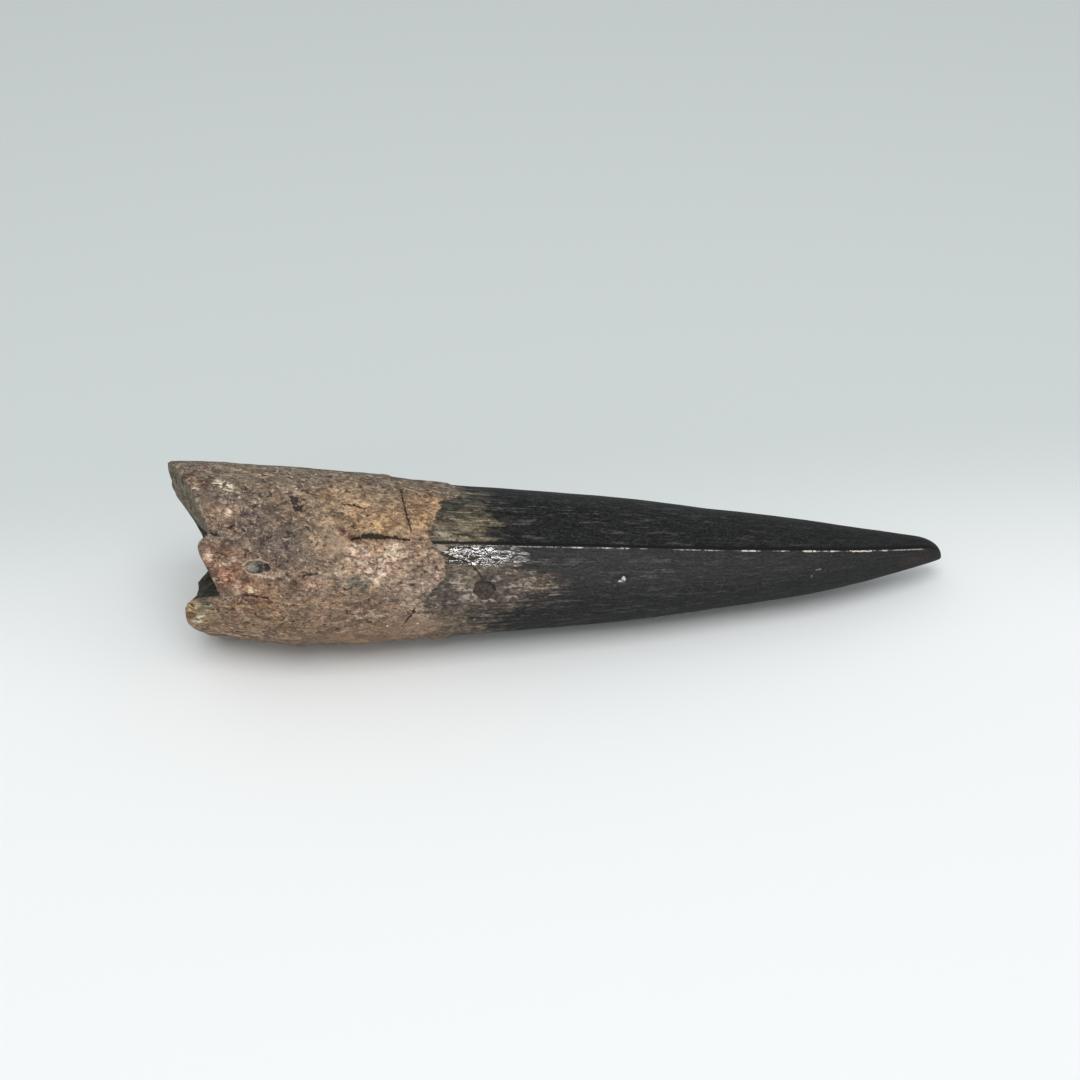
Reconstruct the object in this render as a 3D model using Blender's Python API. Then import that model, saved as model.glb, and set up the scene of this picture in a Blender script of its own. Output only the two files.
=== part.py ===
"""A fossil dinosaur tooth lying on its side: a dark keeled crown on a brown root with a broken, hollow end.

Run with: blender --background --python part.py

The tooth grew as one piece, so it is one closed solid. Units are metres, +Z is up. The broken end of
the root is at -X and the tip of the crown at +X. The front keel faces -Y and up. The origin is on the
surface that the tooth lies on, under the middle of its box.

Sizes and places below are in millimetres and degrees. A place on the skin is (along, around): along is
the distance from the broken end towards the tip, and around is the angle about the axis, which is 0 on
the front keel, 90 on the upper flank, 180 on the back keel and -90 on the lower flank.
"""

import math

import bmesh
import bpy
import numpy as np
from mathutils import Vector, noise

MM = 0.001

# Driving dimensions of the whole tooth
LENGTH = 115.0
CROWN_LENGTH = 76.5
CROWN_START = LENGTH - CROWN_LENGTH
ROOT_HEIGHT = 25.0  # across the root at its thickest, square to the keels
KEEL_TO_KEEL = 1.05  # width of a section along the keels, as a share of its height
KEEL_TILT_AT_ROOT = 47.4  # how far the front keel looks up from level, at the broken end
KEEL_TILT_AT_TIP = 41.8
TIP_LIFT = 3.5  # the underside's height over the surface at the tip
LIFT_START = 46.0  # along, where the underside leaves the surface
REST_DEPTH = 0.3  # how much of the underside is worn flat where the tooth rests
REST_SPAN = 16.0  # degrees around, on either side of the lowest line, where the root's skin is smooth
SMOOTH_TOP = (85.0, 30.0, 0.65)  # around, its spread, and how much smoother the root's skin is there

# The axis seen from above: how far it lies towards +Y, at each along
PLAN = [
    (0.0, 0.0),
    (16.0, -4.8),
    (32.0, -6.3),
    (48.0, -6.6),
    (64.0, -6.9),
    (80.0, -6.7),
    (97.0, -6.1),
    (LENGTH, -3.7),
]

# Half height of the skin at each distance from the tip: a blunt nose, a tapering crown, a stout root
HALF_HEIGHT = [
    (0.0, 0.0),
    (1.0, 1.2),
    (3.0, 2.0),
    (6.5, 2.75),
    (12.0, 3.8),
    (21.0, 5.4),
    (36.0, 7.4),
    (51.0, 9.15),
    (66.0, 10.3),
    (CROWN_LENGTH, 11.05),
    (83.0, 11.6),
    (90.0, 12.05),
    (99.0, ROOT_HEIGHT / 2),
    (108.0, 12.4),
    (LENGTH, 12.0),
]

# Keels: ridges with a sharp crest down the front and the back of the crown
KEEL_HEIGHT = 0.7
KEEL_WIDTH = 1.1
KEEL_FADE = 4.0  # length over which a keel sinks into the root
FULL_KEEL_RADIUS = 4.0  # the crown's radius under which the keels shrink towards the tip

# The root's skin laps over the base of the crown in a ragged edge: its place along, at each angle around
LAP_EDGE = [
    (-150, 36.0),
    (-115, 39.5),
    (-85, 37.5),
    (-60, 38.0),
    (-37, 36.0),
    (-30, 37.6),
    (-21, 39.0),
    (-12, 39.1),
    (-4, 38.4),
    (1, 37.3),
    (19, 38.3),
    (29, 39.0),
    (36, 39.4),
    (42, 41.7),
    (50, 42.3),
    (75, 40.0),
    (105, 37.0),
    (150, 38.5),
    (180, 39.5),
]
LAP_HEIGHT = 0.22
LAP_STEP = 0.8  # length over which the lap comes up

# A crust left on the root's upper flank, which ends at a crack: its place along, at each angle around
CRUST_EDGE = [
    (0, 34.2),
    (10, 34.1),
    (22, 33.8),
    (41, 33.9),
    (63, 33.0),
    (90, 31.0),
    (120, 29.0),
]
CRUST_SPAN = (3.0, 5.0, 110.0, 130.0)  # around: where it starts, is whole, begins to fade and is gone
CRUST_START = (14.0, 26.0)  # along, where it begins to rise and is whole
CRUST_HEIGHT = 0.2
CRUST_STEP = 0.5  # length over which it drops at its edge

# The broken end: how far each edge of the root's wall falls short of the full length
OUTER_EDGE = [
    (-170, 5.0),
    (-140, 4.8),
    (-110, 5.2),
    (-92, 4.2),
    (-82, 3.0),
    (-72, 2.6),
    (-62, 2.6),
    (-54, 2.9),
    (-48, 4.0),
    (-44, 7.4),
    (-38, 7.6),
    (-28, 6.8),
    (-21, 6.1),
    (-15, 5.5),
    (-11, 5.4),
    (-7, 5.8),
    (-3, 6.9),
    (1, 6.9),
    (8, 6.2),
    (15, 5.6),
    (23, 5.1),
    (31, 4.4),
    (43, 3.3),
    (54, 2.4),
    (66, 1.2),
    (78, 0.65),
    (92, 0.8),
    (115, 2.2),
    (140, 3.8),
    (165, 4.8),
]
CAVITY_EDGE = [
    (-160, 5.4),
    (-130, 4.2),
    (-108, 3.9),
    (-96, 4.2),
    (-84, 4.7),
    (-68, 8.0),
    (-50, 9.0),
    (-32, 8.4),
    (-12, 6.2),
    (4, 7.0),
    (18, 5.6),
    (45, 3.9),
    (75, 3.2),
    (100, 3.2),
    (130, 4.0),
    (160, 5.0),
]
WALL_BULGE = 0.25  # the broken wall's bulge between its edges
FRONT_BULGE = 0.5  # what is added to it on the upper front
FRONT_BULGE_PLACE = (66.0, 28.0)  # around, and its spread
CAVITY_RADIUS = 5.2
CAVITY_FLOOR = 12.5  # along
CAVITY_TAPER = 0.35  # how much narrower its floor is than its mouth
CAVITY_WALL_SHARE = 0.6  # of the hollow's rows that run down its wall; the others cross its floor
EDGE_ROUND = 0.35  # how far the skin turns in at the broken edge

# Roughness of the root's skin and of the broken wall, as lumps of each size and height
ROOT_LUMPS = [(9.0, 0.4), (3.2, 0.22)]
WALL_LUMPS = [(4.0, 0.55), (1.6, 0.2)]

# Dents and rises of the skin: along, around, length, width, turn from the axis, height
RELIEF = {
    "slit under the crust": (29.7, 3.2, 7.4, 0.9, 3, -0.8),
    "end of the slit": (33.5, 1.6, 1.8, 0.7, -25, -0.5),
    "ridge over the slit": (30.6, 8.0, 6.4, 2.2, 2, 0.25),
    "facet before the slit": (25.2, -4.0, 3.4, 4.6, 30, -0.3),
    "pit on the upper flank": (19.2, 20.5, 1.9, 2.6, 20, -0.7),
    "flake": (16.6, 4.4, 3.8, 1.8, 0, 0.25),
    "hole at the broken edge": (7.7, -2.6, 1.1, 0.6, 0, -0.6),
    "worn patch at the broken edge": (6.9, -16.0, 1.8, 2.4, 0, -0.2),
    "oval pit": (13.4, -21.0, 3.8, 2.1, 0, -0.3),
    "hollow under the oval pit": (10.2, -30.0, 5.0, 2.6, 10, -0.3),
    "first dent on the lower lobe": (10.8, -47.5, 2.6, 1.2, 0, -0.2),
    "second dent on the lower lobe": (14.0, -45.5, 2.3, 1.1, 0, -0.2),
    "swell of the lower flank": (22.0, -84.0, 15.0, 8.0, 0, 0.3),
    "knob on the lower flank": (38.0, -92.0, 3.4, 3.0, 0, 0.35),
    "chip in the crown": (44.3, -31.5, 3.4, 2.9, 0, -0.35),
    "small chip in the crown": (63.9, -27.5, 1.8, 0.9, 42, -0.25),
}
RELIEF_EDGE = 0.28  # share of its half width over which a dent or rise comes up

# Mesh
COLUMNS = 240
SKIN_ROWS = 330
TIP_CROWDING = 1.25  # over 1 puts the rows closer together at the tip
BREAK_ROWS = 18
CAVITY_ROWS = 30
KEPT_SHARE = 0.045  # of the fine grid's triangles

CROWN_COLOUR = (0.030, 0.030, 0.031, 1.0)
CROWN_ROUGHNESS = 0.34
ROOT_COLOUR = (0.235, 0.170, 0.120, 1.0)
ROOT_ROUGHNESS = 0.75


def smooth_curve(x, points, period=None):
    """The smooth curve through (x, y) points, as cubic pieces. With a period, it closes on itself."""
    xs, ys = (np.array(column, float) for column in zip(*points))
    if period:
        xs = np.concatenate([xs[-3:] - period, xs, xs[:3] + period])
        ys = np.concatenate([ys[-3:], ys, ys[:3]])
    slopes = np.gradient(ys, xs)
    i = np.clip(np.searchsorted(xs, x) - 1, 0, len(xs) - 2)
    step = xs[i + 1] - xs[i]
    t = (x - xs[i]) / step
    rise = ys[i + 1] - ys[i]
    a = slopes[i] * step - rise
    b = rise - slopes[i + 1] * step
    return ys[i] + rise * t + t * (1 - t) * (a * (1 - t) + b * t)


def step_up(x, start, end):
    """0 before start, 1 after end, smooth between."""
    t = np.clip((x - start) / (end - start), 0, 1)
    return t * t * (3 - 2 * t)


def lumps(points, sizes):
    """Smooth noise at each point, as the sum of lumps of each size and height in millimetres."""
    total = np.zeros(points.shape[:-1])
    for size, height in sizes:
        flat = [noise.noise(Vector(p) / size, noise_basis="PERLIN_ORIGINAL") for p in points.reshape(-1, 3)]
        total += height * np.array(flat).reshape(total.shape)
    return total


def half_height(along):
    """Half the tooth's height, square to the keels. Its square is the smooth one at the blunt tip."""
    squares = [(distance, height * height) for distance, height in HALF_HEIGHT]
    return np.sqrt(np.maximum(smooth_curve(LENGTH - along, squares), 0.0))


def section_radius(along, around):
    """Distance from the axis to the smooth skin, without keels."""
    angle = np.radians(around)
    return half_height(along) / np.hypot(np.sin(angle), np.cos(angle) / KEEL_TO_KEEL)


def keel_tilt(along):
    """How far the front keel looks up from level, in degrees."""
    return KEEL_TILT_AT_ROOT + (KEEL_TILT_AT_TIP - KEEL_TILT_AT_ROOT) * along / LENGTH


def keels(along, around):
    """Height of the two keels over the smooth skin."""
    radius = section_radius(along, around)
    front = np.radians(np.abs(around)) * radius
    back = np.radians(180.0 - np.abs(around)) * radius
    crest = np.exp(-front / KEEL_WIDTH) + np.exp(-back / KEEL_WIDTH)
    fade = step_up(along, CROWN_START - KEEL_FADE, CROWN_START + KEEL_FADE)
    return KEEL_HEIGHT * crest * fade * np.minimum(1.0, radius / FULL_KEEL_RADIUS)


def root_share(along, around):
    """1 on the root's skin and 0 on the crown, with a short step between at the ragged edge."""
    edge = smooth_curve(around, LAP_EDGE, 360)
    return 1 - step_up(along, edge - LAP_STEP / 2, edge + LAP_STEP / 2)


def crust(along, around):
    """Height of the crust over the root's skin."""
    edge = smooth_curve(np.clip(around, CRUST_EDGE[0][0], CRUST_EDGE[-1][0]), CRUST_EDGE)
    start, whole, fading, gone = CRUST_SPAN
    across = step_up(around, start, whole) * (1 - step_up(around, fading, gone))
    before_edge = 1 - step_up(along, edge - CRUST_STEP / 2, edge + CRUST_STEP / 2)
    return CRUST_HEIGHT * across * step_up(along, *CRUST_START) * before_edge


def relief(along, around):
    """Height of the dents and rises over the smooth skin."""
    total = np.zeros(along.shape)
    for centre, angle, length, width, turn, height in RELIEF.values():
        u = along - centre
        v = np.radians((around - angle + 180) % 360 - 180) * section_radius(along, around)
        turned = math.radians(turn)
        lengthwise = u * math.cos(turned) + v * math.sin(turned)
        crosswise = v * math.cos(turned) - u * math.sin(turned)
        reach = np.hypot(lengthwise * 2 / length, crosswise * 2 / width)
        total += height * (1 - step_up(reach, 1 - RELIEF_EDGE, 1 + RELIEF_EDGE))
    return total


def axis_frame(along):
    """The axis's place and the directions towards the front keel and the upper flank, at each along."""
    lift = TIP_LIFT * np.clip((along - LIFT_START) / (LENGTH - LIFT_START), 0, 1) ** 2
    tilt = keel_tilt(along)
    under = section_radius(along, -90.0 - tilt)
    place = np.stack([along - LENGTH / 2, smooth_curve(along, PLAN), under + lift - REST_DEPTH], -1)
    cosine, sine = np.cos(np.radians(tilt)), np.sin(np.radians(tilt))
    front = np.stack([0 * along, -cosine, sine], -1)
    flank = np.stack([0 * along, sine, cosine], -1)
    return place, front, flank


def skin_point(along, around, radius):
    """The point at that distance from the axis."""
    place, front, flank = axis_frame(along)
    angle = np.radians(around)[..., None]
    return place + radius[..., None] * (np.cos(angle) * front + np.sin(angle) * flank)


def skin_rows(around):
    """Points from the tip to the broken edge, as rows round the tooth, and the last row's radius."""
    edge = smooth_curve(around, OUTER_EDGE, 360)
    share = (np.arange(1, SKIN_ROWS + 1) / SKIN_ROWS)[:, None] ** TIP_CROWDING
    along = LENGTH - share * (LENGTH - edge)
    angle = np.broadcast_to(around, along.shape)
    smooth = section_radius(along, angle)
    root = root_share(along, angle)
    from_lowest = (angle + 90 + keel_tilt(along) + 180) % 360 - 180
    rest = np.exp(-((from_lowest / REST_SPAN) ** 2))
    top, span, smoothed = SMOOTH_TOP
    smooth_top = 1 - smoothed * np.exp(-(((angle - top) / span) ** 2))
    rough = root * (1 - rest) * smooth_top * lumps(skin_point(along, angle, smooth), ROOT_LUMPS)
    short = np.clip(1 - (along - edge) / (2 * EDGE_ROUND), 0, 1)
    radius = smooth + keels(along, angle) + LAP_HEIGHT * root + crust(along, angle) + relief(along, angle)
    radius = radius + rough - EDGE_ROUND * short * short
    return skin_point(along, angle, radius), radius[-1]


def break_rows(around, edge_radius):
    """Points across the broken wall, from the skin to the hollow."""
    outer = smooth_curve(around, OUTER_EDGE, 360)
    inner = smooth_curve(around, CAVITY_EDGE, 360)
    t = (np.arange(1, BREAK_ROWS + 1) / BREAK_ROWS)[:, None]
    centre, spread = FRONT_BULGE_PLACE
    bulge = WALL_BULGE + FRONT_BULGE * np.exp(-(((around - centre) / spread) ** 2))
    along = outer + (inner - outer) * t - bulge * 4 * t * (1 - t)
    radius = edge_radius + (CAVITY_RADIUS - edge_radius) * t
    angle = np.broadcast_to(around, along.shape)
    rough = lumps(skin_point(along, angle, radius), WALL_LUMPS)
    return skin_point(along + rough * np.sin(math.pi * t), angle, radius)


def cavity_rows(around):
    """Points from the hollow's mouth down its wall and across its floor."""
    mouth = smooth_curve(around, CAVITY_EDGE, 360)
    t = (np.arange(1, CAVITY_ROWS) / CAVITY_ROWS)[:, None]
    down = np.clip(t / CAVITY_WALL_SHARE, 0, 1)
    across = np.clip((1 - t) / (1 - CAVITY_WALL_SHARE), 0, 1)
    along = mouth + (CAVITY_FLOOR - mouth) * np.sin(down * math.pi / 2)
    radius = np.broadcast_to(CAVITY_RADIUS * across * (1 - CAVITY_TAPER * down), along.shape)
    return skin_point(along, np.broadcast_to(around, along.shape), radius)


def tooth_points():
    """Rows of COLUMNS points from the tip round the broken edge to the hollow's floor, then both ends."""
    around = np.linspace(-180.0, 180.0, COLUMNS, endpoint=False)
    skin, edge_radius = skin_rows(around)
    rows = np.vstack([skin, break_rows(around, edge_radius), cavity_rows(around)])
    ends = axis_frame(np.array([LENGTH, CAVITY_FLOOR]))[0]
    points = np.vstack([rows.reshape(-1, 3), ends])
    middle = (points.min(axis=0) + points.max(axis=0)) / 2
    return points - (middle[0], middle[1], 0.0)


def closed_mesh(name, points, columns):
    """A closed mesh of rings of points, with a single point at each end, listed last."""
    count = (len(points) - 2) // columns
    first, last = count * columns, count * columns + 1
    faces = []
    for column in range(columns):
        after = (column + 1) % columns
        faces.append((first, column, after))
        for row in range(count - 1):
            here, below = row * columns, (row + 1) * columns
            faces.append((here + column, below + column, below + after, here + after))
        faces.append((below + after, below + column, last))
    mesh = bpy.data.meshes.new(name)
    mesh.from_pydata(points.tolist(), [], faces)
    mesh.update()
    return mesh


def material(name, colour, roughness):
    """A plain mineral surface."""
    made = bpy.data.materials.new(name)
    made.use_nodes = True
    shader = made.node_tree.nodes["Principled BSDF"]
    shader.inputs["Base Color"].default_value = colour
    shader.inputs["Roughness"].default_value = roughness
    shader.inputs["Metallic"].default_value = 0.0
    return made


def ground_cutter(cut_material):
    """A hidden block that fills the space under the surface that the tooth lies on."""
    mesh = bpy.data.meshes.new("ground_cutter")
    shape = bmesh.new()
    bmesh.ops.create_cube(shape, size=2 * LENGTH * MM)
    bmesh.ops.translate(shape, verts=shape.verts, vec=(0, 0, -LENGTH * MM))
    shape.to_mesh(mesh)
    shape.free()
    mesh.materials.append(cut_material)
    cutter = bpy.data.objects.new("ground_cutter", mesh)
    cutter.display_type = "WIRE"
    cutter.hide_render = True
    bpy.context.scene.collection.objects.link(cutter)
    return cutter


def tooth_object():
    """The whole tooth: a fine skin, thinned to flat facets where it is smooth, and worn flat underneath."""
    mesh = closed_mesh("tooth", tooth_points() * MM, COLUMNS)
    root_material = material("root", ROOT_COLOUR, ROOT_ROUGHNESS)
    mesh.materials.append(material("crown", CROWN_COLOUR, CROWN_ROUGHNESS))
    mesh.materials.append(root_material)
    for face in mesh.polygons:
        face.material_index = int(face.center.x < (CROWN_START - LENGTH / 2) * MM)
    mesh.shade_smooth()
    mesh.set_sharp_from_angle(angle=math.radians(40))
    tooth = bpy.data.objects.new("tooth", mesh)
    bpy.context.scene.collection.objects.link(tooth)
    thin = tooth.modifiers.new("thin out", "DECIMATE")
    thin.ratio = KEPT_SHARE
    rest = tooth.modifiers.new("worn flat", "BOOLEAN")
    rest.operation = "DIFFERENCE"
    rest.solver = "EXACT"
    rest.object = ground_cutter(root_material)
    return tooth


def build():
    for old in list(bpy.data.objects):
        bpy.data.objects.remove(old)
    tooth_object()


build()
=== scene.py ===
"""The looks of the fossil dinosaur tooth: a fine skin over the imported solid, its colours, and a studio.

Sizes and places are in millimetres and degrees, but for most of the studio's. A place on the skin is
(along, around): along is the distance from the broken end towards the tip, and around is the angle about
the axis, which is 0 on the front keel, 90 on the upper flank, 180 on the back keel and -90 on the lower
flank. The driving values and the smooth skin are the solid's. The finer relief and the material are
added here.
"""

import math

import bpy
import numpy as np
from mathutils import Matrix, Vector, noise


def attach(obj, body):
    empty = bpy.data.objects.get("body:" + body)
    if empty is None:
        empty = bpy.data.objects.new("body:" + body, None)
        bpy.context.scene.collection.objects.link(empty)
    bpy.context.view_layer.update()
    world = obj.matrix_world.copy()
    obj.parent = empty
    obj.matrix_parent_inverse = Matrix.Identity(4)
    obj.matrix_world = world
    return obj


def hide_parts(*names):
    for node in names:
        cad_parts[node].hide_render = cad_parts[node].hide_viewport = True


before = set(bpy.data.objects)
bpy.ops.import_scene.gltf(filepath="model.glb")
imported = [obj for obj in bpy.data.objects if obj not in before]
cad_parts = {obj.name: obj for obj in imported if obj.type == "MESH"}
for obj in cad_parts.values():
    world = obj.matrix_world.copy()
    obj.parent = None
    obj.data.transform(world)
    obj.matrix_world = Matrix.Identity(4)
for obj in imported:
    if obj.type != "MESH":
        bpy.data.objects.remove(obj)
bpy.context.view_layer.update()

MM = 0.001

# Driving dimensions of the whole tooth, as in the solid
LENGTH = 115.0
CROWN_LENGTH = 76.5
CROWN_START = LENGTH - CROWN_LENGTH
ROOT_HEIGHT = 25.0  # at its thickest, square to the keels
KEEL_TO_KEEL = 1.05  # a section's width along the keels, over its height
KEEL_TILT_AT_ROOT = 47.4  # how far the front keel looks up from level
KEEL_TILT_AT_TIP = 41.8
TIP_LIFT = 3.5  # height of the underside at the tip
LIFT_START = 46.0  # along, where the underside leaves the surface
REST_DEPTH = 0.3  # how much of the underside is worn flat
REST_SPAN = 16.0  # degrees from the lowest line, where the skin is smooth
SMOOTH_TOP = (85.0, 30.0, 0.65)  # around, its spread, and how much smoother the root is there

# The axis seen from above: how far it lies towards +Y, at each along
PLAN = [
    (0.0, 0.0), (16.0, -4.8), (32.0, -6.3), (48.0, -6.6), (64.0, -6.9), (80.0, -6.7), (97.0, -6.1),
    (LENGTH, -3.7),
]

# Half height of the skin at each distance from the tip
HALF_HEIGHT = [
    (0.0, 0.0), (1.0, 1.2), (3.0, 2.0), (6.5, 2.75), (12.0, 3.8), (21.0, 5.4), (36.0, 7.4), (51.0, 9.15),
    (66.0, 10.3), (CROWN_LENGTH, 11.05), (83.0, 11.6), (90.0, 12.05), (99.0, ROOT_HEIGHT / 2),
    (108.0, 12.4), (LENGTH, 12.0),
]

# Keels: ridges with a sharp crest down the front and the back of the crown
KEEL_HEIGHT = 0.7
KEEL_WIDTH = 1.1
KEEL_FADE = 4.0  # length over which a keel sinks into the root
FULL_KEEL_RADIUS = 4.0  # under this radius of the crown, the keels shrink

# The ragged edge where the root's skin laps over the crown: its place along, at each angle around
LAP_EDGE = [
    (-150, 36.0), (-115, 39.5), (-85, 37.5), (-60, 38.0), (-37, 36.0), (-30, 37.6), (-21, 39.0),
    (-12, 39.1), (-4, 38.4), (1, 37.3), (19, 38.3), (29, 39.0), (36, 39.4), (42, 41.7), (50, 42.3),
    (75, 40.0), (105, 37.0), (150, 38.5), (180, 39.5),
]
LAP_HEIGHT = 0.22
LAP_STEP = 0.8  # length over which the lap comes up

# The crust's edge on the root's upper flank: its place along, at each angle around
CRUST_EDGE = [
    (0, 34.2), (10, 34.1), (22, 33.8), (41, 33.9), (63, 33.0), (90, 31.0), (120, 29.0),
]
CRUST_SPAN = (3.0, 5.0, 110.0, 130.0)  # around, where it starts, is whole, begins to fade and is gone
CRUST_START = (14.0, 26.0)  # along, where it begins to rise and is whole
CRUST_HEIGHT = 0.2
CRUST_STEP = 0.5  # length over which it drops at its edge

# The broken end: how far the skin's edge and the hollow's mouth lie along, at each angle around
OUTER_EDGE = [
    (-170, 5.0), (-140, 4.8), (-110, 5.2), (-92, 4.2), (-82, 3.0), (-72, 2.6), (-62, 2.6), (-54, 2.9),
    (-48, 4.0), (-44, 7.4), (-38, 7.6), (-28, 6.8), (-21, 6.1), (-15, 5.5), (-11, 5.4), (-7, 5.8),
    (-3, 6.9), (1, 6.9), (8, 6.2), (15, 5.6), (23, 5.1), (31, 4.4), (43, 3.3), (54, 2.4), (66, 1.2),
    (78, 0.65), (92, 0.8), (115, 2.2), (140, 3.8), (165, 4.8),
]
CAVITY_EDGE = [
    (-160, 5.4), (-130, 4.2), (-108, 3.9), (-96, 4.2), (-84, 4.7), (-68, 8.0), (-50, 9.0), (-32, 8.4),
    (-12, 6.2), (4, 7.0), (18, 5.6), (45, 3.9), (75, 3.2), (100, 3.2), (130, 4.0), (160, 5.0),
]
WALL_BULGE = 0.25  # the broken wall's bulge between its edges
FRONT_BULGE = 0.5  # what is added to it on the upper front
FRONT_BULGE_PLACE = (66.0, 28.0)  # around, and its spread
CAVITY_RADIUS = 5.2
CAVITY_FLOOR = 12.5  # along
CAVITY_TAPER = 0.35  # how much narrower the floor is than the mouth
CAVITY_WALL_SHARE = 0.6  # of the hollow's rows, that run down its wall
EDGE_ROUND = 0.35  # how far the skin turns in at the broken edge

# Lumps of each size and height. The solid has only the first two of the root's and of the wall's.
ROOT_LUMPS = [(9.0, 0.4), (3.2, 0.22), (1.3, 0.08), (0.7, 0.04)]
WALL_LUMPS = [(4.0, 0.55), (1.6, 0.2), (0.8, 0.12)]
CROWN_LUMPS = [(14.0, 0.12), (4.0, 0.04)]
HOLLOW_LUMPS = [(3.0, 0.6), (1.2, 0.25)]

# Dents and rises of the skin: along, around, length, width, turn from the axis, height
RELIEF = {
    "slit under the crust": (29.7, 3.2, 7.4, 0.9, 3, -0.8),
    "end of the slit": (33.5, 1.6, 1.8, 0.7, -25, -0.5),
    "ridge over the slit": (30.6, 8.0, 6.4, 2.2, 2, 0.25),
    "facet before the slit": (25.2, -4.0, 3.4, 4.6, 30, -0.3),
    "pit on the upper flank": (19.2, 20.5, 1.9, 2.6, 20, -0.7),
    "flake": (16.6, 4.4, 3.8, 1.8, 0, 0.25),
    "hole at the broken edge": (7.7, -2.6, 1.1, 0.6, 0, -0.6),
    "worn patch at the broken edge": (6.9, -16.0, 1.8, 2.4, 0, -0.2),
    "oval pit": (13.4, -21.0, 3.8, 2.1, 0, -0.3),
    "hollow under the oval pit": (10.2, -30.0, 5.0, 2.6, 10, -0.3),
    "first dent on the lower lobe": (10.8, -47.5, 2.6, 1.2, 0, -0.2),
    "second dent on the lower lobe": (14.0, -45.5, 2.3, 1.1, 0, -0.2),
    "swell of the lower flank": (22.0, -84.0, 15.0, 8.0, 0, 0.3),
    "knob on the lower flank": (38.0, -92.0, 3.4, 3.0, 0, 0.35),
    "chip in the crown": (44.3, -31.5, 3.4, 2.9, 0, -0.35),
    "small chip in the crown": (63.9, -27.5, 1.8, 0.9, 42, -0.25),
}
RELIEF_EDGE = 0.28  # share of its half width over which each comes up

# Cracks: half width, depth (0 where the relief cuts it), and the (along, around) points on their way
CRACKS = {
    "upright crack": (0.10, 0.35, [(33.8, 44), (33.9, 36), (34.1, 28), (34.2, 22), (34.5, 15), (34.8, 8)]),
    "long crack in the crust": (0.10, 0.15, [(25.5, 24), (27.2, 24), (28.7, 22)]),
    "crack in the middle": (0.08, 0.2, [(18.9, -23.6), (20.4, -22.4), (21.6, -21.4)]),
    "crack on the lower flank": (0.08, 0.15, [(34.6, -46), (34.0, -53), (32.7, -63)]),
    "curved crack in the crown": (
        0.09, 0.08, [(39.3, -7), (40.6, -9), (41.9, -11), (42.8, -14), (43.6, -18), (44.3, -24)],
    ),
    "crack by the lower lobe": (0.11, 0.15, [(11.2, -39), (13.0, -39), (14.6, -40)]),
    "crack at the broken edge": (0.10, 0.15, [(8.9, 2), (9.9, 2), (10.7, 4)]),
    "crack on the back": (0.12, 0.2, [(12.0, 150), (17.0, 146), (24.0, 150), (30.0, 145)]),
    "start of the slit": (0.16, 0.0, [(26.4, 0.8), (27.0, 2.2), (28.0, 3.4)]),
    "slit": (0.30, 0.0, [(28.0, 3.4), (29.4, 3.9), (30.8, 3.8)]),
    "end of the slit": (0.20, 0.0, [(30.8, 3.8), (32.2, 3.6), (33.2, 3.1)]),
    "tail of the slit": (0.09, 0.0, [(33.2, 3.1), (33.9, 2.6), (34.5, 1.9)]),
}

# Thin pale lines, like the cracks
PALE_LINES = {
    "facet edge": (0.05, 0.0, [(24.2, 6.2), (25.2, 1.5), (26.3, -3.0)]),
    "top of the rock's rim": (0.08, 0.0, [(15.6, -17.5), (13.8, -15), (12.2, -16.5), (11.4, -20)]),
    "foot of the rock's rim": (0.06, 0.0, [(11.4, -21), (12.2, -24.5), (14.0, -25)]),
    # The pale line along the broken edge is a painted highlight on its rim
    "broken edge": (0.04, 0.0, [(5.9, 16), (6.3, 11), (6.8, 6)]),
}

# Mesh: columns round the tooth, and rows along the skin, across the break and down the hollow
COLUMNS = 300
SKIN_ROWS = 276
BREAK_ROWS = 24
CAVITY_ROWS = 20
# How the skin's rows are spread: share of the rows, share of the way from the tip to the break
ROW_PLACES = [(0.0, 0.0), (0.01, 0.0012), (0.02, 0.005), (0.05, 0.026), (0.36, 0.61), (1.0, 1.0)]
WALL_FADE_ROWS = 3  # over which the skin turns into the broken wall
HOLLOW_FADE_START = 0.8  # of the wall's rows, where the hollow's painted shade begins
HOLLOW_FADE_ROWS = 5

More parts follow.
